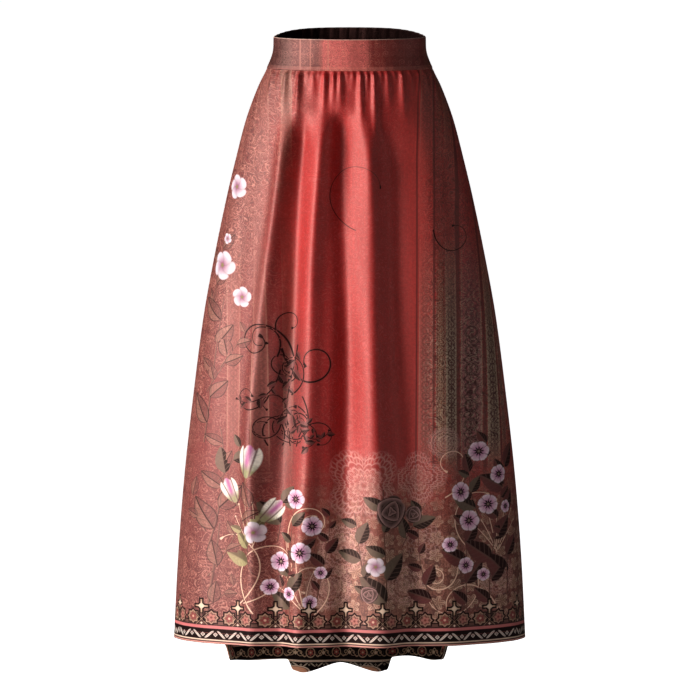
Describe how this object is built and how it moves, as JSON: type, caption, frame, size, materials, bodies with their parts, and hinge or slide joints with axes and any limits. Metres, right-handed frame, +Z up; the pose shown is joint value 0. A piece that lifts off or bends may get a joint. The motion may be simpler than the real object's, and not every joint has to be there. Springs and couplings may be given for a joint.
{
  "type": "high-waisted skirt",
  "caption": "Full-length satin skirt with a high band, panels gathered into it and flaring in soft folds, the back hem longer than the front.",
  "frame": {"origin": "middle of the wearer's waist, half way up the waistband", "axes": "+Z up along the wearer, -Y towards the front of the skirt, +X towards the wearer's left"},
  "size_m": [0.5592, 0.4259, 1.0429],
  "materials": {
    "waistband": "printed satin, folded over a stiffener and elastic",
    "skirt": "printed satin with a turned-up hem"
  },
  "bodies": {
    "root": {"waistband_front": "waistband", "waistband_back": "waistband", "skirt_front": "skirt", "skirt_back": "skirt"}
  },
  "joints": []
}
